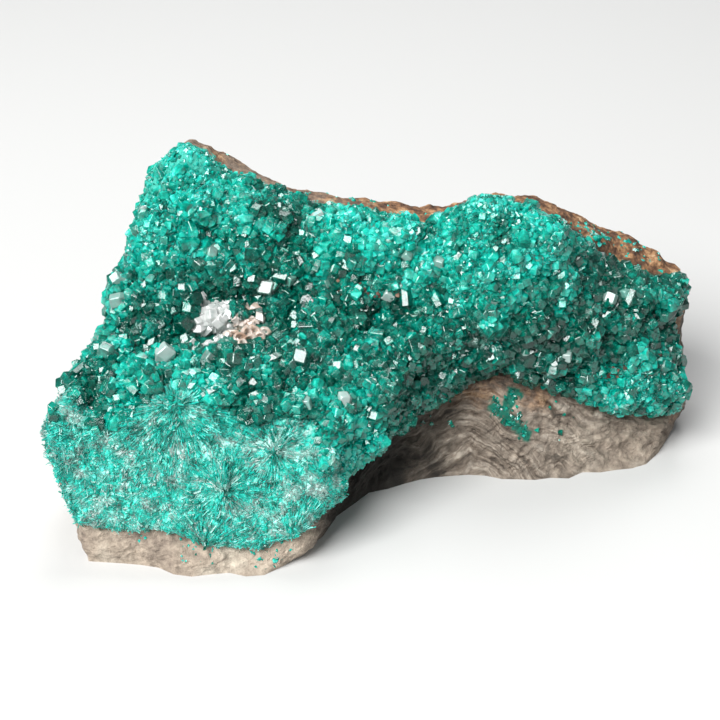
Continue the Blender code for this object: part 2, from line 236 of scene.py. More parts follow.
def film(p):
    # the thin green film on the wall: a slanting tongue with a short arm
    reach = rock["filmReach"]
    for start, end in rock["filmArms"]:
        start, end = Vector(start), Vector(end)
        share = min(1.0, max(0.0, (p - start).dot(end - start) / (end - start).length_squared))
        reach = min(reach, (p - start.lerp(end, share)).length)
    return smoothStep(1.35, 0.95, reach + 1.1 * noise.fractal(p / 1.5, 0.8, 2.0, 3))


def rockMaterial():
    material, make, shader = newMaterial("dolomiteRock")
    place = make("ShaderNodeTexCoord").outputs["Object"]
    wall = attribute(make, "wall")
    broad = speckle(make, place, 95.0, 6.0, Roughness=0.62)
    patchy = speckle(make, place, 300.0, 5.0, Roughness=0.6)
    fine = speckle(make, place, 760.0, 5.0, Roughness=0.7)
    axes = make("ShaderNodeSeparateXYZ", Vector=place)
    alongX = workedOut(make, "MULTIPLY", axes.outputs[0], 190.0)  # the layers run on slowly in x and y
    alongY = workedOut(make, "MULTIPLY", axes.outputs[1], 190.0)
    across = make("ShaderNodeCombineXYZ", X=attribute(make, "flow"), Y=alongX, Z=alongY).outputs[0]
    layers = speckle(make, across, 1.1, 5.0, Roughness=0.66, Distortion=0.35)
    grey = ramp(make, broad, [(0.25, (0.035, 0.029, 0.024)), (0.5, (0.11, 0.09, 0.073)),
                              (0.75, (0.24, 0.19, 0.15))])
    layered = ramp(make, layers, [(0.34, (0.026, 0.02, 0.015)), (0.43, (0.13, 0.10, 0.075)),
                                  (0.52, (0.27, 0.22, 0.172)), (0.64, (0.50, 0.435, 0.36))])
    blurred = stretched(make, patchy, 0.38, 0.6, 0.6, 0.0)
    layered = mixColour(make, blurred, layered, (0.20, 0.165, 0.13, 1))
    pale = ramp(make, broad, [(0.3, (0.24, 0.185, 0.145)), (0.52, (0.47, 0.385, 0.30)),
                              (0.72, (0.66, 0.59, 0.48))])
    blotches = workedOut(make, "MULTIPLY", workedOut(make, "MULTIPLY_ADD", patchy, 1.2, fine), 0.4545)
    rust = ramp(make, blotches, [(0.38, (0.045, 0.022, 0.014)), (0.48, (0.17, 0.08, 0.038)),
                                 (0.56, (0.40, 0.215, 0.10)), (0.66, (0.62, 0.46, 0.29))])
    colour = mixColour(make, wall, grey, layered)
    # pale: the foot's band and the top rims in their own tan; on the wall's lower right partly painted light
    colour = mixColour(make, attribute(make, "pale"), colour, pale)
    colour = mixColour(make, attribute(make, "rust"), colour, rust)
    fleck = stretched(make, workedOut(make, "MULTIPLY_ADD", attribute(make, "fleck"), 0.27, patchy), 0.71, 0.77)
    colour = mixColour(make, fleck, colour, (0.05, 0.48, 0.38, 1))
    colour = mixColour(make, attribute(make, "film"), colour, (0.0, 0.13, 0.085, 1))
    colour = mixColour(make, 1.0, colour, stretched(make, fine, 0.3, 0.7, 0.6, 1.2), "MULTIPLY")
    # painted shade: darkened towards black beside the foot, where its shadow falls
    colour = mixColour(make, attribute(make, "shade"), colour, (0.012, 0.011, 0.009, 1))
    tree = material.node_tree
    tree.links.new(colour, shader.inputs["Base Color"])
    shader.inputs["Roughness"].default_value = 0.82
    relief = workedOut(make, "MULTIPLY_ADD", workedOut(make, "MULTIPLY", layers, wall), 0.6, fine)
    bump = make("ShaderNodeBump", Height=relief, Strength=0.9, Distance=0.0007).outputs[0]
    tree.links.new(bump, shader.inputs["Normal"])
    return material


def makeRock():
    bm = mergedNode("matrix_rock")
    bmesh.ops.subdivide_edges(bm, edges=bm.edges, cuts=rock["cuts"], use_grid_fill=True)
    bmesh.ops.triangulate(bm, faces=bm.faces)
    wallFaces = [f for f in bm.faces if onWall(f.calc_center_median() / mm) > 0.2]
    wallEdges = list(dict.fromkeys(e for f in wallFaces for e in f.edges))
    bmesh.ops.subdivide_edges(bm, edges=wallEdges, cuts=1, use_grid_fill=True)
    bmesh.ops.triangulate(bm, faces=bm.faces)
    free = [v for v in bm.verts if v.co.z > 0.05 * mm]
    evenOut(bm, free, rock["evening"])
    normals = {v: v.normal.copy() for v in free}
    for v in free:
        p = v.co / mm
        hold = smoothStep(0, 2.0, p.z)  # the foot of every side stays on the flat base
        v.co += normals[v] * rockLift(p) * hold * mm
        v.co.z = max(v.co.z, 0.02 * mm)
    bm.normal_update()
    names = ("wall", "flow", "shade", "pale", "rust", "fleck", "film")
    marks = {name: bm.verts.layers.float.new(name) for name in names}
    for v in bm.verts:
        p = v.co / mm
        wander = noise.fractal(p / 5, 1.0, 2.0, 3)
        foot = smoothStep(-8, -16, p.y + 3 * wander) * smoothStep(-3, -10, p.x)
        # the wall's lower right is painted paler: partly the rock's own pinkish tan, partly painted light where
        # the wall is lit most
        wallFoot = smoothStep(26, 40, p.x + 6 * wander) * smoothStep(9, 4, p.z) * smoothStep(10, 0, p.y)
        top = smoothStep(0.05, 0.5, v.normal.z + 0.35 * wander) * smoothStep(16, 24, p.z)
        left = smoothStep(4, -15, p.x)
        v[marks["wall"]] = 0.95 * onWall(p) * (1 - 0.4 * wallFoot)
        v[marks["flow"]] = wallFlow(p)
        v[marks["film"]] = film(p)
        # painted shade: the return beside the foot is darkened in its colour, where the foot's shadow falls
        corner = smoothStep(15, 0, p.x + 4 * wander) * smoothStep(-14, -8, p.x) * smoothStep(8, 3, p.y)
        v[marks["shade"]] = 0.93 * corner
        v[marks["pale"]] = min(1, 0.9 * foot + 0.45 * wallFoot + 0.7 * top * left)
        patches = 0.35 * smoothStep(0.1, 0.5, wander) * (1 - onWall(p)) * (1 - foot)
        wallTop = 0.45 * onWall(p) * smoothStep(9, 14, p.z + 2 * wander)
        v[marks["rust"]] = top * (1 - 0.55 * left) + patches + wallTop
        v[marks["fleck"]] = 2.0 if overRock(p) else top * smoothStep(24, 12, p.y + 4 * wander) * (0.6 + 0.4 * left)
    return addPiece(bm, "rockBlock", rockMaterial())


rockBlock = makeRock()
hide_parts("matrix_rock")
rockVertices = [v.co.copy() for v in rockBlock.data.vertices]
rockFaces = [tuple(f.vertices) for f in rockBlock.data.polygons]
rockTree = BVHTree.FromPolygons(rockVertices, rockFaces)
print("rock block made,", len(rockFaces), "faces")


# the bed that the dioptase crystals grow from: the crust's own solid, made lumpy

bed = {
    "voxel": 0.6,
    "evening": 9,
    "clumpSize": 7.5, "clumpHeight": 1.7,
    "raggedSize": 3.2, "raggedness": 0.7,
    "roughSize": 1.3, "roughness": 0.35,
    "flatEvening": 24, "prominence": 1.3,  # what stands this high over the evened bed counts as fully prominent
}


def rockGap(place):
    return rockTree.find_nearest(place)[3]


def onBreak(p):
    # the foot's flat break, from 0 to 1; its upper edge rises where the largest spray fans out
    edge = 21.0 + 1.6 * noise.noise(p / 4) + 2.5 * smoothStep(-44, -50, p.x)
    edge += 4.5 * math.exp(-((p.x + 34) / 7) ** 2)
    front = smoothStep(-13.5, -16.5, p.y)
    side = -9.5 + 4.0 * smoothStep(19, 13, p.z) + 2 * noise.noise(p / 3)
    return front * smoothStep(side, side - 3, p.x) * smoothStep(edge + 1.2, edge - 1.2, p.z)


# how the crust changes from place to place:
# middle, reach, crystal size, lightness, tone, share of crystals that glint
# the lightness and tone are partly the crust's own colour, milky on the domes and deep green in the hollows, and
# partly painted light and shade: lighter on the lit domes, darker in the shaded hollows
areas = [
    ((-32, 6, 43), 10, 0.64, 0.70, 0.58, 0.015),
    ((-31, 12, 48), 6, 0.52, 0.90, 0.66, 0.010),
    ((-19, 11, 42), 6, 0.95, 0.15, 0.42, 0.050),
    ((-44, -3, 31), 6, 0.90, 0.45, 0.50, 0.070),
    ((-38, -3, 30), 6, 0.95, 0.05, 0.32, 0.050),
    ((-24, 2, 33), 7, 1.05, 0.00, 0.32, 0.040),
    ((-12, 1, 33), 7, 1.05, 0.14, 0.52, 0.030),
    ((-8, 9, 39), 5, 0.66, 0.88, 0.68, 0.020),
    ((3, 7, 38), 6, 0.68, 0.84, 0.66, 0.020),
    ((20, 0, 38), 9, 0.64, 0.62, 0.62, 0.015),
    ((24, -1, 23), 8, 1.00, 0.00, 0.24, 0.170),
    ((42, 6, 28), 7, 0.90, 0.12, 0.40, 0.090),
    ((49, 8, 18), 6, 0.80, 0.05, 0.35, 0.040),
    ((42, -1, 12), 7, 0.60, 0.70, 0.50, 0.015),
    ((-35, -14, 27), 7, 0.75, 0.60, 0.55, 0.020),
    ((-20, -12, 27), 7, 1.05, 0.14, 0.42, 0.040),
    ((-8, -17, 22), 6, 0.95, 0.36, 0.50, 0.040),
    ((-6, -22, 14), 7, 0.70, 0.80, 0.56, 0.020),
    ((5, -6, 24), 7, 0.80, 0.20, 0.42, 0.035),
]
areaMiddles = np.array([area[0] for area in areas])
areaReaches = np.array([area[1] for area in areas])
areaValues = np.array([area[2:] for area in areas])


def areaMix(p):
    weights = np.exp(-((areaMiddles - p) ** 2).sum(axis=1) / areaReaches ** 2)
    return (weights @ areaValues + 0.1 * np.array((0.85, 0.2, 0.42, 0.03))) / (weights.sum() + 0.1)


def dioptaseMaterial(name, transmission, roughness, glow=0.0, frostAndGlintColour=(0.80, 0.90, 0.87, 1)):
    material, make, shader = newMaterial(name)
    place = make("ShaderNodeTexCoord").outputs["Object"]
    veil = speckle(make, place, 900.0, 4.0, Roughness=0.7)
    tone = workedOut(make, "ADD", attribute(make, "tone"), stretched(make, veil, 0.32, 0.68, -0.36, 0.36))
    deep = ramp(make, tone, [(0.0, (0.0, 0.05, 0.034)), (0.4, (0.0, 0.14, 0.094)),
                             (0.75, (0.0, 0.34, 0.232)), (1.0, (0.0, 0.62, 0.45))])
    light = ramp(make, tone, [(0.0, (0.0, 0.16, 0.118)), (0.4, (0.0, 0.42, 0.325)),
                              (0.75, (0.01, 0.70, 0.56)), (1.0, (0.14, 0.88, 0.75))])
    colour = mixColour(make, attribute(make, "light"), deep, light)
    # the whitening mark: on the break the fibres' own greyish white, on the crust's crystals a painted glint
    colour = mixColour(make, attribute(make, "frost"), colour, frostAndGlintColour)
    tree = material.node_tree
    tree.links.new(colour, shader.inputs["Base Color"])
    shader.inputs["Roughness"].default_value = roughness
    shader.inputs["IOR"].default_value = 1.66
    shader.inputs["Transmission Weight"].default_value = transmission
    shader.inputs["Subsurface Weight"].default_value = glow
    shader.inputs["Subsurface Radius"].default_value = (0.2, 1.0, 0.8)
    shader.inputs["Subsurface Scale"].default_value = 0.7 * mm
    bump = make("ShaderNodeBump", Height=veil, Strength=0.35, Distance=0.0003).outputs[0]
    tree.links.new(bump, shader.inputs["Normal"])
    return material


def breakFrost(p):
    # how greyish white the break is at a place: blotches a few millimetres wide
    return min(0.5, max(0.0, 1.1 * noise.fractal(p / 2.8 + Vector((9, 0, 0)), 0.7, 2.0, 4) - 0.1))


def makeBed():
    bm = remeshedNode("dioptase_crust", bed["voxel"], bed["evening"])
    for v in bm.verts:
        p = v.co / mm
        nearest = noise.voronoi((p + 1.5 * noise.noise_vector(p / 5)) / bed["clumpSize"])[0][0]
        clump = (0.75 - 1.6 * nearest * nearest) * (1 - 0.85 * onBreak(p))
        v.co += v.normal * clump * bed["clumpHeight"] * mm * smoothStep(0.5, 2.2, rockGap(v.co) / mm)
    # how far each place stands over a much smoothed bed; the crystals grown from it are painted lighter on the
    # domes and darker in the hollows, painted light and shade
    flat = bm.copy()
    evenOut(flat, flat.verts, bed["flatEvening"])
    fullHeight = bed["prominence"] * mm
    heights = [(v.co - level.co).dot(level.normal) / fullHeight for v, level in zip(bm.verts, flat.verts)]
    flat.free()
    bm.normal_update()
    for v in bm.verts:
        p = v.co / mm
        ragged = noise.noise_vector(p / bed["raggedSize"]) * bed["raggedness"]
        rough = noise.fractal(p / bed["roughSize"], 0.9, 2.0, 3) * bed["roughness"]
        v.co += (ragged * 0.6 + v.normal * rough) * mm
    bmesh.ops.triangulate(bm, faces=bm.faces)
    bm.normal_update()
    marks = {name: bm.verts.layers.float.new(name) for name in ("tone", "light", "frost", "prominence")}
    for v, height in zip(bm.verts, heights):
        p = v.co / mm
        broken = onBreak(p)
        _, light, tone, _ = areaMix(p)
        v[marks["tone"]] = 0.4 * tone + 0.3 * noise.fractal(p / 1.6, 1.0, 2.0, 3) + 0.3 * broken
        v[marks["light"]] = max(0.9 * broken, 0.7 * light)
        v[marks["frost"]] = broken * breakFrost(p)
        v[marks["prominence"]] = max(-1.0, min(1.0, height))
    return addPiece(bm, "crustBed", dioptaseMaterial("dioptaseBed", 0.0, 0.42))


crustBed = makeBed()
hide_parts("dioptase_crust")
bedVertices = [v.co.copy() for v in crustBed.data.vertices]
bedFaces = [tuple(f.vertices) for f in crustBed.data.polygons]
bedProminence = [mark.value for mark in crustBed.data.attributes["prominence"].data]
bedTree = BVHTree.FromPolygons(bedVertices, bedFaces)
print("crust bed made,", len(bedFaces), "faces")


# crystal shapes, copied thousands of times

habit = {
    "tipSlope": math.tan(math.radians(51)),
    "uneven": 0.22,
    "bevel": 0.07,
}


def shapeFrom(bm):
    bmesh.ops.recalc_face_normals(bm, faces=bm.faces)
    bm.normal_update()
    bm.verts.index_update()
    points = np.array([v.co for v in bm.verts])
    faces = [tuple(v.index for v in f.verts) for f in bm.faces]
    normals = [f.normal.copy() for f in bm.faces]
    bm.free()
    return points, faces, normals


def crystalShape(seed, length, softened=False):
    # a six-sided prism with a three-faced tip, radius 1, standing on the origin along +Z
    draw = random.Random(seed)
    bm = bmesh.new()
    bmesh.ops.create_cone(bm, cap_ends=True, segments=6, radius1=1, radius2=1, depth=length)
    bmesh.ops.translate(bm, verts=bm.verts, vec=(0, 0, length / 2))
    top = sorted((v for v in bm.verts if v.co.z > length / 2), key=lambda v: math.atan2(v.co.y, v.co.x))
    cap = [f for f in bm.faces if all(v in top for v in f.verts)]
    tip = bmesh.ops.poke(bm, faces=cap)["verts"][0]
    for turn, corner in enumerate(top):
        corner.co.z -= habit["tipSlope"] * 0.5 * (1 + turn % 2)
    tip.co += Vector((draw.uniform(-1, 1), draw.uniform(-1, 1), 0)) * habit["uneven"]
    squeeze = Matrix.Diagonal((1, draw.uniform(0.7, 1.0), 1))
    bmesh.ops.transform(bm, matrix=squeeze.to_4x4(), verts=bm.verts)
    if softened:
        edges = [e for e in bm.edges if max(v.co.z for v in e.verts) > 0.01]
        bmesh.ops.bevel(bm, geom=edges, offset=habit["bevel"], segments=1, profile=0.5, material=-1,
                        affect="EDGES", clamp_overlap=True)
    return shapeFrom(bm)


def grainShape(seed, count=10):
    # a blunt, irregular grain, radius 1, resting on the origin
    draw = random.Random(seed)
    bm = bmesh.new()
    for turn in range(count):
        height = 1 - 2 * (turn + 0.5) / count
        ring = math.sqrt(1 - height * height)
        angle = 2.4 * turn + draw.uniform(-0.3, 0.3)
        place = Vector((0.85 * ring * math.cos(angle), ring * math.sin(angle), 1.15 * height))
        place *= draw.uniform(0.78, 1.1)
        bmesh.ops.create_vert(bm, co=place + Vector((0, 0, 1.1)))
    bmesh.ops.convex_hull(bm, input=bm.verts)
    bmesh.ops.delete(bm, geom=[v for v in bm.verts if not v.link_faces], context="VERTS")
    return shapeFrom(bm)


def blockShape(seed):
    # a rhomb standing on one corner, its other corners a little out of true
    draw = random.Random(seed)
    bm = bmesh.new()
    bmesh.ops.create_cube(bm, size=1.2)
    upright = Vector((1, 1, 1)).rotation_difference(Vector((0, 0, 1))).to_matrix()
    bmesh.ops.rotate(bm, verts=bm.verts, cent=(0, 0, 0), matrix=upright)
    for v in bm.verts:
        v.co += Vector([draw.uniform(-0.12, 0.12) for _ in range(3)]) + Vector((0, 0, 1))
    bmesh.ops.triangulate(bm, faces=bm.faces)
    return shapeFrom(bm)


def bladeShape(seed, length):
    # a thin splinter along +Z
    draw = random.Random(seed)
    bm = bmesh.new()
    bmesh.ops.create_cone(bm, cap_ends=True, segments=4, radius1=1, radius2=0.4, depth=length)
    bmesh.ops.translate(bm, verts=bm.verts, vec=(0, 0, length / 2))
    squeeze = Matrix.Diagonal((1, draw.uniform(0.5, 0.9), 1))
    bmesh.ops.transform(bm, matrix=squeeze.to_4x4(), verts=bm.verts)
    return shapeFrom(bm)


def heightOf(shape):
    return shape[0][:, 2].max()


def pick(shapes, draw):
    return shapes[int(draw.integers(len(shapes)))]


def anyTurn(draw):
    return draw.uniform(0, 6)


def clipped(value, most=1.0):
    return float(np.clip(value, 0, most))


smallShapes = [crystalShape(seed, length) for seed, length in enumerate((1.9, 2.2, 2.6, 3.0))]
largeShapes = [crystalShape(seed + 10, length, softened=True) for seed, length in enumerate((2.0, 2.3, 2.7, 3.1))]
grainShapes = [grainShape(seed, 9 + seed % 4) for seed in range(7)] + [blockShape(seed) for seed in range(2)]
bladeShapes = [bladeShape(seed + 20, length) for seed, length in enumerate((7.0, 10.0, 13.0))]


def standing(point, direction, radius, turn, stretch=1.0):
    # where a shape goes: its foot at the point, its length along the direction
    turned = direction.to_track_quat("Z", "Y").to_matrix().to_4x4()
    return (Matrix.Translation(point) @ turned @ Matrix.Rotation(turn, 4, "Z")
            @ Matrix.Diagonal((radius, radius, radius * stretch, 1)))


# no crystal reaches further than this past the CAD's box
boxLow = Vector(cadBox[0]) - Vector((0.8, 0.8, 0)) * mm
boxHigh = Vector(cadBox[1]) + Vector((0.8, 0.8, 0.5)) * mm


def insideBox(shape, placing):
    foot, tip = placing.translation, placing @ Vector((0, 0, heightOf(shape)))
    return all(low <= c <= high for point in (foot, tip) for low, c, high in zip(boxLow, point, boxHigh))


def plant(name, crystals, material):
    # crystals: (shape, placing, tone, light, whitening) each; all of them become one piece; the whitening is the
    # break's own greyish white, on the crust a painted glint
    points, faces, marks = [], [], []
    start = 0
    for shape, placing, tone, light, frost in crystals:
        if not insideBox(shape, placing):
            continue
        shapePoints, shapeFaces = shape[:2]
        placed = np.array(placing)
        points.append(shapePoints @ placed[:3, :3].T + placed[:3, 3])
        faces += [tuple(start + corner for corner in face) for face in shapeFaces]
        height = shapePoints[:, 2] / shapePoints[:, 2].max()
        # painted shade: tone and lightness fall off towards each crystal's foot, so the crevices between crystals
        # look shaded and the tips lit
        footShadedTone = tone + 0.32 * (height - 0.85)  # towards the tip
        marks.append(np.stack((footShadedTone, light * (0.5 + 0.5 * height), 0 * height + frost), axis=1))
        start += len(shapePoints)
    mesh = bpy.data.meshes.new(name)
    mesh.from_pydata(np.concatenate(points).tolist(), [], faces)
    marks = np.concatenate(marks)
    for column, mark in enumerate(("tone", "light", "frost")):
        layer = mesh.attributes.new(mark, "FLOAT", "POINT")
        layer.data.foreach_set("value", np.ascontiguousarray(marks[:, column]).astype(np.float32))
    print(name, len(crystals), "crystals,", sum(len(face) - 2 for face in faces), "triangles")
    return addMesh(mesh, name, material)


# the crystals of the crust

crust = {
    "radius": 0.62, "spread": 0.40, "least": 0.24, "most": 1.2,
    "tries": 150000, "rimTries": 70000,
    "closeness": 0.39,  # of the sum of two neighbours' radii
    "lean": 0.45,
    # radii: below the first most are blunt grains, from the second on they have softened edges
    "grainsBelow": 0.55, "largeFrom": 0.85,
    "milkyFrom": 0.4,  # lightness
    "parts": (("Left", -99, -24), ("Middle", -24, 6), ("Right", 6, 99)),  # from where to where in x
    "bareMiddle": (-25.2, -5.2, 28.8), "bareReach": (7.2, 5.0, 4.2),  # left open for the calcite
    "druseTries": 9000, "druseRadius": 0.28,
}


def surfaceSpots(vertices, faces, count, draw):
    # random places spread evenly over a surface, with the outward direction at each
    corners = np.array(vertices)[np.array(faces)]
    normals = np.cross(corners[:, 1] - corners[:, 0], corners[:, 2] - corners[:, 0])
    areasOfFaces = np.linalg.norm(normals, axis=1)
    picks = draw.choice(len(faces), size=count, p=areasOfFaces / areasOfFaces.sum())
    a, b = draw.random((2, count, 1))
    folded = a + b > 1
    a, b = np.where(folded, 1 - a, a), np.where(folded, 1 - b, b)
    spots = corners[picks, 0] * (1 - a - b) + corners[picks, 1] * a + corners[picks, 2] * b
    return spots, normals[picks] / areasOfFaces[picks][:, None], picks


def spaced(candidates, closeness):
    # keeps each (point, radius, ...) that isn't too near one kept before, in millimetres
    cell = 2.4
    grid, kept = {}, []
    for candidate in candidates:
        point, radius = candidate[:2]
        home = tuple(int(math.floor(c / cell)) for c in point)
        near = [other for dx in (-1, 0, 1) for dy in (-1, 0, 1) for dz in (-1, 0, 1)
                for other in grid.get((home[0] + dx, home[1] + dy, home[2] + dz), ())]
        if all((point - other).length > closeness * (radius + size) for other, size in near):
            grid.setdefault(home, []).append((point, radius))
            kept.append(candidate)
    return kept


def outwardDirection(normal, lean, draw):
    direction = normal + Vector(draw.normal(0, lean, 3))
    return direction.normalized() if direction.length > 0.1 else normal


def nearCalcite(p):
    # the place of the calcite group, which the dioptase leaves bare
    away = p - Vector(crust["bareMiddle"])
    return Vector([gap / reach for gap, reach in zip(away, crust["bareReach"])]).length < 1


def growCandidates(vertices, faces, count, draw, wanted):
    spots, normals, picks = surfaceSpots(vertices, faces, count // (1), draw)
    for spot, normal, pick in zip(spots, normals, picks):
        p = Vector(spot) / mm
        if not wanted(Vector(spot), p):
            continue
        prominence = bedProminence[faces[pick][0]] if vertices is bedVertices else 0.2
        size, light, tone, glint = areaMix(p)
        # painted light and shade: crystals on the bed's domes are made lighter, those in its hollows darker
        light += 0.5 * noise.fractal(p / 4.5, 1.0, 2.0, 3) + 0.3 * prominence
        tone += 0.2 * prominence + 0.22 * noise.noise(p / 2.2)
        yield p, size, Vector(normal), light, tone, glint


def onCrust(place, p):
    return rockGap(place) > 0.9 * mm and onBreak(p) < 0.5 and not nearCalcite(p)


def growCrust():
    draw = np.random.default_rng(11)
    sources = ((bedVertices, bedFaces, crust["tries"], onCrust),
               (rockVertices, rockFaces, crust["rimTries"], lambda place, p: overRock(p)))
    candidates = []
    for vertices, faces, count, wanted in sources:
        for p, size, *rest in growCandidates(vertices, faces, count, draw, wanted):
            radius = crust["radius"] * size * math.exp(draw.normal(0, crust["spread"]))
            candidates.append((p, min(crust["most"], max(crust["least"], radius)), *rest))
    candidates.sort(key=lambda c: -c[1])
    return spaced(candidates, crust["closeness"]), draw


def towardsLight(place):
    # the way a face at this place has to look for the camera to see the key light in it
    cameraWay = (Vector(studio["target"]) + cameraAway() * studio["cameraDistance"] - place).normalized()
    return (cameraWay + (Vector(studio["keyPlace"]) - place).normalized()).normalized()


def glinting(shape, placing, place, miss):
    # tips a crystal over a little, so that one of its faces mirrors the light, more or less exactly
    wanted = (towardsLight(place) + miss).normalized()
    turned = placing.to_3x3().normalized()
    best = max((turned @ normal for normal in shape[2]), key=lambda normal: normal.dot(wanted))
    tip = best.rotation_difference(wanted).to_matrix().to_4x4()
    return Matrix.Translation(place) @ tip @ Matrix.Translation(-place) @ placing


def dressCrystal(p, radius, normal, light, tone, glint, draw):
    direction = outwardDirection(normal, crust["lean"], draw)
    grains = draw.random() < (0.7 if radius < crust["grainsBelow"] else 0.35)
    shape = pick(largeShapes if radius > crust["largeFrom"] else grainShapes if grains else smallShapes, draw)
    length = heightOf(shape) * radius
    milky = min(1.0, max(0.0, light))  # the milky crystals are grown together deeper
    rise = radius * draw.uniform(0.45 - 0.25 * milky, 1.45 - 0.5 * milky)  # how far the tip stands out
    placing = standing((p + direction * (rise - length)) * mm, direction, radius * mm, draw.uniform(0, math.tau))
    if draw.random() < glint:
        placing = glinting(shape, placing, p * mm, Vector(draw.normal(0, 0.13, 3)))
    tone = clipped(tone + draw.normal(-0.02, 0.10))
    light = clipped(light + draw.normal(0, 0.10))
    # painted glint: about one small crystal in eighty is whitened, standing in for light mirrored in its faces
    paintedGlint = draw.uniform(0.2, 0.6) if draw.random() < 0.012 and radius < 0.8 else 0.0
    return shape, placing, tone, light, paintedGlint


glassyCrystals = dioptaseMaterial("dioptaseGlassy", 0.52, 0.12)
milkyCrystals = dioptaseMaterial("dioptaseMilky", 0.25, 0.16, 0.6)
grown, growDraw = growCrust()
dressed = [(c[0].x, dressCrystal(*c, growDraw)) for c in grown]
for side, low, high in crust["parts"]:
    here = [crystal for x, crystal in dressed if low <= x < high]
    plant("glassy" + side, [c for c in here if c[3] < crust["milkyFrom"]], glassyCrystals)
    plant("milky" + side, [c for c in here if c[3] >= crust["milkyFrom"]], milkyCrystals)


def growDruse():
    draw = np.random.default_rng(12)
    crystals = []
    for p, _, normal, *rest in growCandidates(bedVertices, bedFaces, crust["druseTries"], draw, onCrust):
        radius = crust["druseRadius"] * math.exp(draw.normal(0, 0.25))
        crystals.append(dressCrystal(p + normal * draw.uniform(0.0, 0.4), radius, normal, *rest, draw))
    return crystals


plant("crystalDruse", growDruse(), glassyCrystals)


# large crystals that stand out in the crust: place, radius, lean, tone, lightness, and how white they are painted,
# a painted glint standing in for light mirrored in their faces

standoutScale = 0.95  # of the radii in the list
standouts = [
    ((-35.8, -11.1, 27.6), 2.0, (0.05, -0.35, 1.0), 0.8, 0.6, 0.85),
    ((-45.2, -9.5, 27.0), 1.6, (-0.8, -0.4, 0.5), 0.5, 0.4, 0.15),
    ((-43.6, -1.4, 31.8), 1.6, (-0.8, -0.4, 0.4), 0.6, 0.5, 0.5),
    ((-44.2, 0.8, 35.0), 1.3, (-0.9, -0.3, 0.5), 0.5, 0.4, 0.3),
    ((-30.8, 3.8, 36.7), 1.5, (0.1, -1.0, 0.6), 0.5, 0.1, 0.05),
    ((-20.1, 2.4, 32.8), 1.9, (0.3, -1.0, 0.3), 0.5, 0.1, 0.35),
    ((-17.5, 3.6, 35.5), 1.5, (-0.2, -1.0, 0.5), 0.4, 0.0, 0.0),
    ((-15.8, 1.8, 34.1), 1.4, (0.2, -1.0, 0.6), 0.6, 0.1, 0.25),
    ((-9.5, 1.5, 33.6), 1.3, (-0.2, -1.0, 0.6), 0.5, 0.1, 0.2),
    ((-28.5, 4.5, 37.5), 1.3, (-0.3, -1.0, 0.4), 0.6, 0.3, 0.3),
    ((-19.5, 11.5, 42.5), 1.3, (-0.2, -0.8, 0.7), 0.7, 0.4, 0.45),
    ((9.0, 2.5, 37.0), 1.3, (0.1, -1.0, 0.4), 0.6, 0.4, 0.4),
    ((3.5, 5.5, 37.5), 1.2, (-0.2, -0.9, 0.6), 0.7, 0.4, 0.45),
    ((-13.9, -12.4, 27.3), 1.9, (0.2, -0.6, 1.0), 0.4, 0.1, 0.0),
    ((-24.0, -13.0, 27.0), 1.8, (-0.3, -0.4, 1.0), 0.3, 0.0, 0.05),
    ((-29.0, -11.0, 27.0), 1.5, (0.3, -0.5, 1.0), 0.5, 0.2, 0.3),
    ((-6.6, -17.0, 22.6), 1.5, (-0.1, -1.0, 0.7), 0.9, 0.6, 0.85),
    ((-13.5, -17.5, 22.4), 1.5, (0.2, -0.8, 0.8), 0.8, 0.5, 0.5),
    ((0.8, 1.1, 31.6), 1.5, (0.0, -1.0, 0.6), 0.8, 0.4, 0.75),
    ((-4.0, -1.6, 28.4), 1.6, (-0.3, -0.8, 0.8), 0.5, 0.1, 0.05),
    ((30.2, -2.2, 21.9), 1.3, (0.1, -1.0, 0.5), 0.8, 0.4, 0.7),
    ((27.6, -2.0, 21.6), 1.1, (0.3, -1.0, 0.4), 0.8, 0.4, 0.5),
    ((24.0, -1.5, 22.5), 1.2, (-0.3, -1.0, 0.5), 0.7, 0.2, 0.5),
    ((21.2, -1.0, 21.0), 1.0, (0.3, -1.0, 0.6), 0.7, 0.2, 0.35),
    ((18.5, -0.4, 19.5), 1.2, (0.3, -1.0, 0.4), 0.6, 0.2, 0.6),
    ((37.9, 3.5, 29.3), 1.4, (0.3, -0.8, 0.8), 0.7, 0.3, 0.6),
    ((41.0, 5.4, 29.6), 1.1, (-0.3, -0.8, 0.8), 0.7, 0.3, 0.3),
    ((34.7, -2.5, 17.1), 1.2, (0.1, -1.0, 0.4), 0.4, 0.2, 0.1),
    ((27.3, -3.0, 27.3), 1.3, (0.1, -1.0, 0.2), 0.5, 0.2, 0.1),
]


def makeStandouts():
    crystals = []
    for count, (place, radius, direction, tone, light, frost) in enumerate(standouts):
        point, _, _, _ = bedTree.find_nearest(Vector(place) * mm)
        direction = Vector(direction).normalized()
        radius *= standoutScale
        shape = largeShapes[count % len(largeShapes)]
        length = heightOf(shape) * radius
        foot = point + direction * (1.3 * radius - length) * mm
        miss = 0.1 * noise.noise_vector(Vector((count * 3.7, 0, 0)))
        placing = glinting(shape, standing(foot, direction, radius * mm, 0.7 * count), point, miss)
        crystals.append((shape, placing, tone, light, frost))
    return crystals


plant("standoutCrystals", makeStandouts(), glassyCrystals)


# the foot's flat break: radiating blades and chips

breakSprays = {
    # the points that the snapped crystals fan out from, and how far each fan reaches
    "middles": [((-33.5, -19, 22.5), 9), ((-28.7, -32, 4.5), 5), ((-25.5, -28, 12.7), 5), ((-14.5, -31, 6.5), 4),
                ((-17.5, -24, 17.5), 4)],
    "blades": 6000, "radius": (0.10, 0.26), "length": (1.4, 4.0), "wander": 0.10,
    "chips": 3600, "chipRadius": 0.24,
    "fibres": 9000, "fibreRadius": (0.08, 0.20), "fibreLength": (0.8, 2.2), "tuft": 4.5,
    "tries": 150000,
}


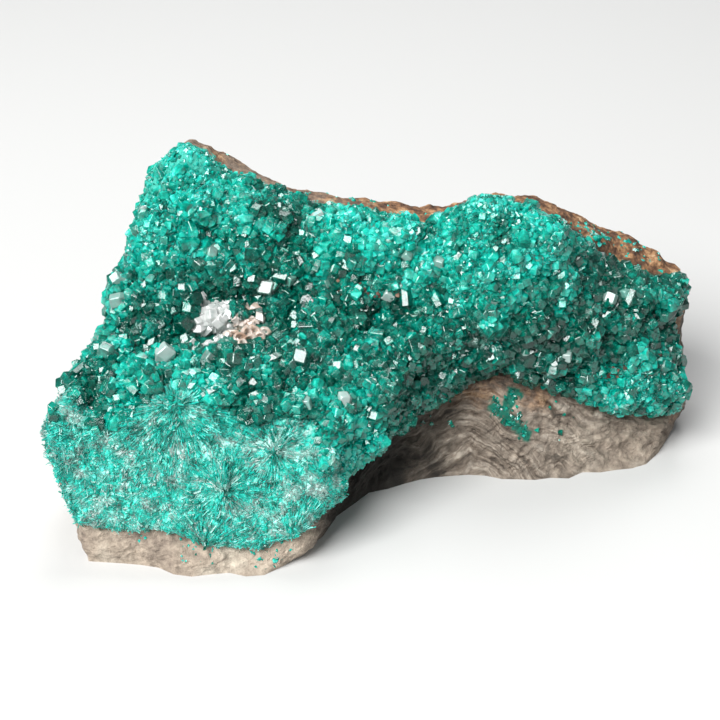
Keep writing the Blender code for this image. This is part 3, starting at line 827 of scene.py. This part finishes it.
def layBlade(p, normal, middle, draw):
    along = p - middle
    along = (along - normal * along.dot(normal)).normalized()
    angle = math.atan2(along.z, along.x)
    streak = noise.noise(Vector((angle * 6, middle.x, middle.z)))
    streak += 0.5 * noise.noise(Vector((angle * 15, middle.x, 1)))
    wandering = Vector(draw.normal(0, breakSprays["wander"], 3))
    along = (along + wandering + normal * draw.uniform(0, 0.05)).normalized()
    radius = draw.uniform(*breakSprays["radius"])
    shape = pick(bladeShapes, draw)
    length = draw.uniform(*breakSprays["length"])
    foot = (p - along * length * 0.5 - normal * radius * draw.uniform(0.35, 0.85)) * mm
    placing = standing(foot, along, radius * mm, anyTurn(draw), length / (heightOf(shape) * radius))
    tone = 0.60 + 0.14 * streak + 0.25 * noise.fractal(p / 2.5, 0.9, 2.0, 3) + draw.normal(0, 0.05)
    frost = 0.8 * breakFrost(p) + 0.4 * max(0.0, streak - 0.25)
    return shape, placing, clipped(tone), 0.9, clipped(frost, 0.75)


def breakTone(p, draw):
    return 0.53 + 0.40 * noise.fractal(p / 2.5, 0.9, 2.0, 3) + draw.normal(0, 0.06)


def layFibre(p, normal, draw):
    angle = math.tau * 1.5 * noise.noise(p / breakSprays["tuft"]) + draw.normal(0, 0.35)
    along = Vector((math.cos(angle), 0, math.sin(angle)))
    along = (along - normal * along.dot(normal) + normal * draw.uniform(0, 0.12)).normalized()
    radius = draw.uniform(*breakSprays["fibreRadius"])
    length = draw.uniform(*breakSprays["fibreLength"])
    shape = pick(bladeShapes, draw)
    foot = (p - along * length * 0.5 - normal * radius * draw.uniform(0.0, 0.6)) * mm
    placing = standing(foot, along, radius * mm, anyTurn(draw), length / (heightOf(shape) * radius))
    frost = breakFrost(p) + max(0.0, draw.normal(0, 0.12))
    return shape, placing, clipped(breakTone(p, draw)), 0.88, float(min(0.75, frost))


def layChip(p, normal, draw):
    radius = min(0.45, breakSprays["chipRadius"] * math.exp(draw.normal(0, 0.45)))
    direction = (outwardDirection(normal, 0.8, draw) + Vector((0, 0, 0.3))).normalized()
    shape = pick(grainShapes, draw)
    foot = (p + direction * radius * (draw.uniform(0.15, 0.75) - heightOf(shape))) * mm
    tone = clipped(breakTone(p, draw))
    frost = breakFrost(p) + (0.4 if draw.random() < 0.04 else 0.0)
    return shape, standing(foot, direction, radius * mm, anyTurn(draw)), tone, 0.85, min(0.8, frost)


def makeBreak():
    draw = np.random.default_rng(21)
    middles = [(Vector(middle), reach) for middle, reach in breakSprays["middles"]]
    spots, normals, _ = surfaceSpots(bedVertices, bedFaces, breakSprays["tries"] // (1), draw)
    blades, fibres, chips = [], [], []
    for spot, normal in zip(spots, normals):
        p, normal = Vector(spot) / mm, Vector(normal)
        if onBreak(p) < 0.3 or rockGap(Vector(spot)) < 0.8 * mm:
            continue
        middle, reach = min(middles, key=lambda m: (m[0] - p).length / m[1] + 0.15 * noise.noise(p / 3 + m[0]))
        distance = (middle - p).length
        fans = distance > 1.0 and draw.random() < 0.75 * math.exp(-(distance / reach) ** 3)
        if fans and len(blades) < breakSprays["blades"]:
            blades.append(layBlade(p, normal, middle, draw))
        elif len(chips) < breakSprays["chips"] and draw.random() < 0.3:
            chips.append(layChip(p, normal, draw))
        elif len(fibres) < breakSprays["fibres"]:
            fibres.append(layFibre(p, normal, draw))
    return blades, fibres, chips


breakMaterial = dioptaseMaterial("dioptaseBreak", 0.12, 0.34, 0.4, (0.42, 0.52, 0.48, 1))
breakBlades, breakFibres, breakChips = makeBreak()
plant("brokenFootBlades", breakBlades, breakMaterial)
plant("brokenFootFibres", breakFibres, breakMaterial)
plant("brokenFootChips", breakChips, breakMaterial)


# green on the bare rock: a patch on the wall, flecks on the top

rockGreen = {
    # middle, reach, how many, radius
    "patches": [((20.0, -1.8, 10.5), 1.6, 40, 0.36), ((22.4, -2.8, 8.8), 1.4, 36, 0.36),
                ((24.0, -3.8, 7.2), 1.0, 16, 0.32), ((21.8, -0.8, 12.8), 0.9, 16, 0.34),
                ((22.9, 13.6, 42.0), 7, 40, 0.5), ((37.6, 17.3, 33.4), 8, 60, 0.5),
                ((45.4, 20.0, 29.4), 6, 40, 0.45), ((-22.9, 15.9, 45.6), 7, 26, 0.45),
                ((-5.9, 17.5, 40.1), 8, 34, 0.5), ((10, 14, 41), 8, 34, 0.5),
                ((8.0, -3.0, 9.5), 5, 14, 0.4), ((30, -1, 9.0), 6, 12, 0.35),
                ((-45.0, -22.5, 5.0), 4, 44, 0.34), ((-38.5, -26.0, 4.5), 4, 44, 0.34),
                ((-30.5, -31.0, 3.0), 3, 24, 0.30), ((-19.0, -32.0, 3.0), 3, 20, 0.30)],
    "onWall": 0.1, "elsewhere": 0.9,  # lightness
}


def makeRockGreen():
    draw = np.random.default_rng(31)
    crystals = []
    for middle, reach, count, size in rockGreen["patches"]:
        for _ in range(count):
            place = Vector(middle) + Vector(draw.normal(0, reach / 2, 3))
            point, normal, _, _ = rockTree.find_nearest(place * mm)
            radius = size * math.exp(draw.normal(0, 0.35))
            direction = outwardDirection(normal, 0.5, draw)
            shape = pick(grainShapes, draw)
            foot = point + direction * (radius * draw.uniform(0.2, 0.7) - heightOf(shape) * radius) * mm
            light = rockGreen["elsewhere" if middle[2] > 25 or middle[0] < -15 else "onWall"]
            placing = standing(foot, direction, radius * mm, anyTurn(draw))
            crystals.append((shape, placing, clipped(draw.normal(0.5, 0.2)), light, 0.0))
    return crystals


plant("greenOnRock", makeRockGreen(), milkyCrystals)


# seams of rusty grains between the folds of the crust

seams = {
    # from, to, how many grains
    "lines": [((-8.5, 1.0, 33.5), (2.5, 0.5, 31.0), 60), ((36.5, -1.5, 17.5), (50.0, 5.0, 16.5), 110),
              ((-4.0, 13.5, 41.5), (4.0, 13.0, 41.0), 30)],
    "radius": 0.34, "scatter": 0.5,
}


def makeSeams():
    draw = np.random.default_rng(51)
    crystals = []
    for start, end, count in seams["lines"]:
        for _ in range(count):
            place = Vector(start).lerp(Vector(end), draw.random()) + Vector(draw.normal(0, seams["scatter"], 3))
            point, normal = bedTree.find_nearest(place * mm)[:2]
            radius = seams["radius"] * math.exp(draw.normal(0, 0.3))
            shape = pick(grainShapes, draw)
            foot = point + normal * (draw.uniform(0.9, 1.6) - heightOf(shape)) * radius * mm
            crystals.append((shape, standing(foot, normal, radius * mm, anyTurn(draw)), 0, 0, 0))
    return crystals


def seamMaterial():
    material, make, shader = newMaterial("rustySeam")
    place = make("ShaderNodeTexCoord").outputs["Object"]
    veil = speckle(make, place, 500.0, 3.0)
    colour = ramp(make, veil, [(0.35, (0.05, 0.018, 0.01)), (0.55, (0.13, 0.06, 0.038)),
                               (0.7, (0.26, 0.16, 0.11))])
    material.node_tree.links.new(colour, shader.inputs["Base Color"])
    shader.inputs["Roughness"].default_value = 0.7
    return material


plant("rustySeams", makeSeams(), seamMaterial())


# calcite group

calcite = {
    "voxel": 0.3, "evening": 6,
    # clear blocks at the left: place, radius, the way they point
    "blocks": [((-30.0, -4.8, 30.4), 1.1, (-0.5, -0.5, 0.8)), ((-28.4, -4.8, 31.4), 1.5, (-0.1, -0.5, 1.0)),
               ((-29.8, -5.6, 28.6), 1.4, (-0.4, -0.9, 0.4)), ((-27.4, -5.8, 29.2), 1.6, (0.1, -0.9, 0.5)),
               ((-30.8, -5.6, 28.4), 0.9, (-0.8, -0.6, 0.3)), ((-26.4, -4.9, 30.6), 1.0, (0.3, -0.6, 0.9)),
               ((-29.0, -7.0, 27.6), 1.2, (0.0, -1.0, 0.5)), ((-26.8, -7.6, 27.8), 1.0, (0.2, -1.0, 0.6)),
               ((-31.2, -7.0, 27.8), 0.9, (-0.4, -0.7, 0.8)), ((-28.0, -8.8, 27.8), 0.9, (0.1, -0.8, 0.8))],
    "blockScale": 0.85,  # of the radii above
    "cover": 420, "coverRadius": 0.55,
    "strewn": 60, "strewnRadius": 0.42, "strewnMiddle": (-26.5, -6.5, 28.6), "strewnScatter": (3.0, 1.8, 1.2),
    # dioptase that has grown over the group; its look is lightness, tone and the share that glints
    "overgrown": 900, "overgrownRadius": 0.68, "overgrownLook": (0.15, 0.42, 0.05),
    # rounded, honey-coloured ones at the right: place, radius
    "rounded": [((-24.8, -5.8, 29.4), 1.1), ((-22.9, -5.8, 29.2), 1.2), ((-21.2, -5.6, 29.2), 1.0),
                ((-24.0, -7.4, 28.2), 1.1), ((-20.2, -6.6, 28.4), 0.9), ((-22.0, -7.6, 28.2), 1.1),
                ((-25.6, -8.0, 28.0), 0.8), ((-19.4, -5.6, 29.2), 0.8), ((-20.4, -8.4, 28.2), 0.8),
                ((-23.2, -9.0, 28.0), 0.8)],
}


def honeyShare(p):
    # how honey-coloured the calcite is at a place: its right half
    return smoothStep(-25.6, -24.0, p.x + 1.2 * noise.noise(p / 1.5))


def makeCalciteMaterial():
    material, make, shader = newMaterial("calciteCrystal")
    place = make("ShaderNodeTexCoord").outputs["Object"]
    veil = speckle(make, place, 420.0, 4.0, Roughness=0.6)
    white = ramp(make, veil, [(0.35, (0.46, 0.54, 0.51)), (0.5, (0.84, 0.86, 0.84)),
                              (0.7, (0.98, 0.98, 0.97))])
    honey = ramp(make, veil, [(0.35, (0.36, 0.21, 0.13)), (0.48, (0.72, 0.52, 0.40)),
                              (0.65, (0.93, 0.86, 0.79))])
    colour = mixColour(make, attribute(make, "light"), white, honey)
    material.node_tree.links.new(colour, shader.inputs["Base Color"])
    shader.inputs["Roughness"].default_value = 0.13
    shader.inputs["IOR"].default_value = 1.6
    shader.inputs["Transmission Weight"].default_value = 0.45
    bump = make("ShaderNodeBump", Height=veil, Strength=0.5, Distance=0.0004).outputs[0]
    material.node_tree.links.new(bump, shader.inputs["Normal"])
    return material


calciteMaterial = makeCalciteMaterial()


def makeCalcite():
    bm = remeshedNode("calcite_crystals", calcite["voxel"], calcite["evening"])
    for v in bm.verts:
        v.co += v.normal * 0.3 * noise.noise(v.co / (1.3 * mm)) * mm
    bmesh.ops.triangulate(bm, faces=bm.faces)
    honey = bm.verts.layers.float.new("light")
    for v in bm.verts:
        v[honey] = honeyShare(v.co / mm)
    return addPiece(bm, "calciteGroup", calciteMaterial)


calciteGroup = makeCalcite()
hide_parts("calcite_crystals")
calciteVertices = [v.co.copy() for v in calciteGroup.data.vertices]
calciteFaces = [tuple(f.vertices) for f in calciteGroup.data.polygons]
calciteTree = BVHTree.FromPolygons(calciteVertices, calciteFaces)


def nearestGround(place):
    # the nearest place on the calcite group or on the crust's bed
    found = [tree.find_nearest(Vector(place) * mm) for tree in (calciteTree, bedTree)]
    return min(found, key=lambda hit: hit[3])


def roundedShape(seed):
    # a rounded lump with a hollow in its top
    bm = bmesh.new()
    bmesh.ops.create_icosphere(bm, subdivisions=3, radius=1)
    for v in bm.verts:
        hollow = 0.9 * smoothStep(0.62, 0.15, math.hypot(v.co.x, v.co.y)) if v.co.z > 0 else 0.0
        v.co *= 1 + 0.3 * noise.noise(v.co * 1.1 + Vector((seed * 7, 0, 0)))
        v.co = Vector((v.co.x * 1.2, v.co.y * 0.9, max(-0.6, min(0.6, v.co.z)) + 0.6 - hollow))
    return shapeFrom(bm)


def makeCalciteBlocks():
    crystals = []
    for count, (place, radius, direction) in enumerate(calcite["blocks"]):
        radius *= calcite["blockScale"]
        point = nearestGround(place)[0]
        shape = largeShapes[count % len(largeShapes)]
        direction = Vector(direction).normalized()
        foot = point + direction * (1.3 - heightOf(shape)) * radius * mm
        placing = standing(foot, direction, radius * mm, 1.3 * count)
        crystals.append((shape, glinting(shape, placing, point, 0.2 * noise.noise_vector(point / mm)), 0, 0, 0))
    return crystals


def calciteCrystal(point, normal, radius, draw):
    honey = honeyShare(point / mm)
    direction = outwardDirection(normal, 0.6, draw)
    shape = pick(grainShapes if honey > 0.5 or draw.random() < 0.4 else smallShapes, draw)
    foot = point + direction * (draw.uniform(0.5, 1.2) - heightOf(shape)) * radius * mm
    placing = standing(foot, direction, radius * mm, anyTurn(draw))
    if draw.random() < 0.35:
        placing = glinting(shape, placing, point, Vector(draw.normal(0, 0.12, 3)))
    return shape, placing, 0, honey, 0


def isBare(p):
    # the part of the calcite group that the dioptase leaves open
    return p.x > -31 and p.z < (32.6 if p.x < -25.4 else 30.0) + 0.8 * noise.noise(p / 1.5)


def makeCalciteCover():
    # small crystals over the whole group, and strewn on the ledge before it
    draw = np.random.default_rng(42)
    crystals = []
    spots, normals, _ = surfaceSpots(calciteVertices, calciteFaces, calcite["cover"], draw)
    for spot, normal in zip(spots, normals):
        if not isBare(Vector(spot) / mm):
            continue
        radius = calcite["coverRadius"] * math.exp(draw.normal(0, 0.4))
        crystals.append(calciteCrystal(Vector(spot), Vector(normal), radius, draw))
    for _ in range(calcite["strewn"]):
        away = Vector(draw.normal(0, 1, 3) * calcite["strewnScatter"])
        point, normal = nearestGround(Vector(calcite["strewnMiddle"]) + away)[:2]
        radius = calcite["strewnRadius"] * math.exp(draw.normal(0, 0.3))
        crystals.append(calciteCrystal(point, normal, radius, draw))
    return crystals


def makeCalciteRounded():
    crystals = []
    for count, (place, radius) in enumerate(calcite["rounded"]):
        point = nearestGround(place)[0]
        direction = (cameraAway() + 0.6 * noise.noise_vector(Vector((count * 2.3, 1, 0)))).normalized()
        foot = point - direction * 0.3 * radius * mm
        crystals.append((roundedShape(count), standing(foot, direction, radius * mm, 1.3 * count), 0, 1, 0))
    return crystals


def growOverCalcite():
    draw = np.random.default_rng(43)
    crystals = []
    spots, normals, _ = surfaceSpots(calciteVertices, calciteFaces, calcite["overgrown"], draw)
    for spot, normal in zip(spots, normals):
        p = Vector(spot) / mm
        if not isBare(p):
            radius = calcite["overgrownRadius"] * math.exp(draw.normal(0, 0.3))
            crystals.append(dressCrystal(p, radius, Vector(normal), *calcite["overgrownLook"], draw))
    return crystals


plant("crystalsOverCalcite", growOverCalcite(), glassyCrystals)
plant("calciteBlocks", makeCalciteBlocks(), calciteMaterial)
plant("calciteCover", makeCalciteCover(), calciteMaterial)
plant("calciteRounded", makeCalciteRounded(), calciteMaterial)


# floor, light and camera

def makeFloor():
    bm = bmesh.new()
    bmesh.ops.create_grid(bm, x_segments=1, y_segments=1, size=studio["floorSide"] / 2)
    mesh = bpy.data.meshes.new("floor")
    bm.to_mesh(mesh)
    bm.free()
    floor = bpy.data.objects.new("floor", mesh)
    bpy.context.scene.collection.objects.link(floor)
    material, _, shader = newMaterial("paleFloor")
    shader.inputs["Base Color"].default_value = studio["floorColour"]
    shader.inputs["Roughness"].default_value = 0.7
    mesh.materials.append(material)


def addLight(name, place, size, power):
    light = bpy.data.lights.new(name, "AREA")
    light.shape = "SQUARE"
    light.size = size
    light.energy = power
    lamp = bpy.data.objects.new(name, light)
    bpy.context.scene.collection.objects.link(lamp)
    lamp.location = place
    lamp.rotation_euler = (Vector((0, 0, 0.02)) - Vector(place)).to_track_quat("-Z", "Y").to_euler()


def makeStudio():
    makeFloor()
    for lamp in ("key", "fill", "top"):
        addLight(lamp, studio[lamp + "Place"], studio[lamp + "Size"], studio[lamp + "Power"])
    world = bpy.data.worlds.new("room")
    bpy.context.scene.world = world
    world.use_nodes = True
    world.node_tree.nodes["Background"].inputs["Color"].default_value = (0.92, 0.95, 1.0, 1)
    world.node_tree.nodes["Background"].inputs["Strength"].default_value = studio["roomStrength"]
    camera = bpy.data.objects.new("camera", bpy.data.cameras.new("camera"))
    bpy.context.scene.collection.objects.link(camera)
    camera.data.lens = studio["lens"]
    camera.data.sensor_width = 36
    camera.data.clip_start = 0.01
    away = cameraAway()
    camera.location = Vector(studio["target"]) + away * studio["cameraDistance"]
    camera.rotation_euler = (-away).to_track_quat("-Z", "Y").to_euler()
    bpy.context.scene.camera = camera
    bpy.context.scene.view_settings.view_transform = "Standard"


makeStudio()
print("floor, light and camera placed")
